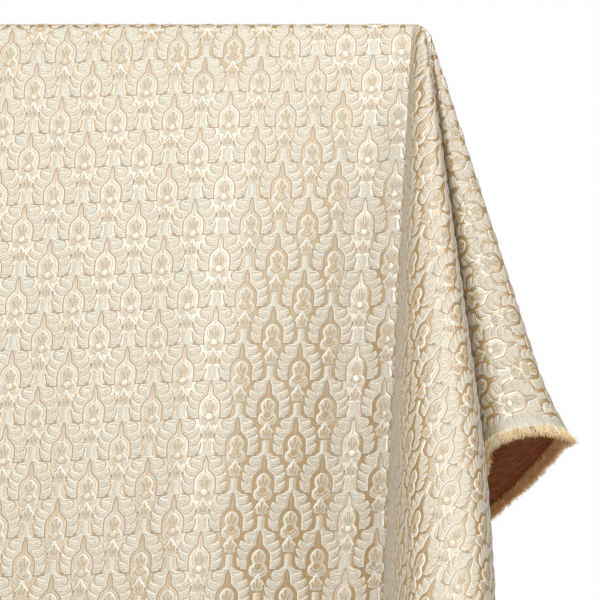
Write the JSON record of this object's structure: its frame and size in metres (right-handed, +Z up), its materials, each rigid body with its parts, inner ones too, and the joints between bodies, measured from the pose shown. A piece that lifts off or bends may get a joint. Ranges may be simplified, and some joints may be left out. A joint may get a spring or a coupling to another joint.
{
  "type": "damask upholstery fabric draped over a plain table",
  "caption": "Length of puffed cream damask upholstery fabric thrown over the corner of a plain wooden table, hanging in a rounded front fold and a wide side flare.",
  "frame": {"origin": "on the floor, under the middle of the bounding box of the table and the cloth together", "axes": "+Z up, the table's front looks along -Y, and the cloth's corner folds hang at +X, -Y"},
  "size_m": [0.6586, 0.7444, 0.9018],
  "materials": {
    "damask": "puffed cream and champagne jacquard damask with satin outlines",
    "table_wood": "plain oiled beech"
  },
  "bodies": {
    "root": {"damask_cloth": "damask", "table_top": "table_wood", "leg_front_left": "table_wood", "leg_front_right": "table_wood", "leg_back_left": "table_wood", "leg_back_right": "table_wood", "apron_front": "table_wood", "apron_back": "table_wood", "apron_left": "table_wood", "apron_right": "table_wood"}
  },
  "joints": []
}
